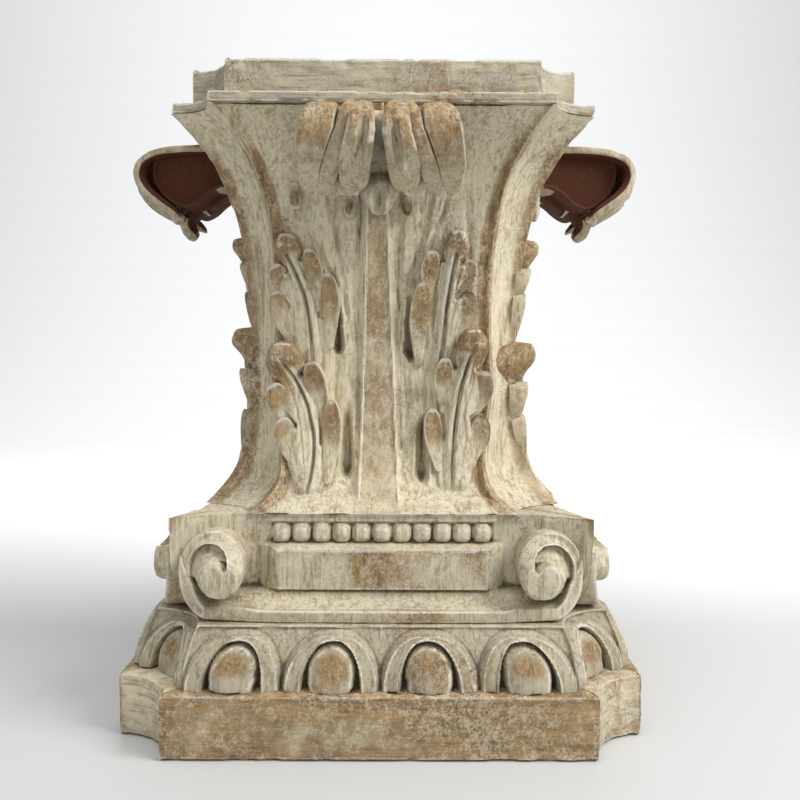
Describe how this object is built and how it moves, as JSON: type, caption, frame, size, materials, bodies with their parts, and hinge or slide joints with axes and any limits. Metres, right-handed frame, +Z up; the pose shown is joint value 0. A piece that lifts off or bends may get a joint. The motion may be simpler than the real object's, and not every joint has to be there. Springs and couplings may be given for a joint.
{
  "type": "carved wooden column capital",
  "caption": "Carved, limed wooden column capital on a square plinth: egg-and-dart course, volutes, a waisted leaf-carved bell and a square top, standing upright as a pedestal.",
  "frame": {"origin": "centre of the plinth's underside, on the surface that the capital stands on", "axes": "+Z up through the middle of the capital, -Y out of the front, +X to the right seen from the front"},
  "size_m": [0.4428, 0.4428, 0.5],
  "materials": {
    "plinth_wood": "bare brown wood with pale limed streaks, dry and matt",
    "course_wood": "limed cream over brown wood, rubbed back on the raised parts",
    "bell_wood": "limed cream over brown wood, rubbed back, dark in the deep cuts",
    "board_wood": "greyish limed wood with rubbed brown patches and fine cracks"
  },
  "bodies": {
    "root": {"plinth": "plinth_wood", "egg_course": "course_wood", "volute_course": "course_wood", "bell": "bell_wood", "abacus_board": "board_wood", "abacus_cap": "board_wood"}
  },
  "joints": []
}
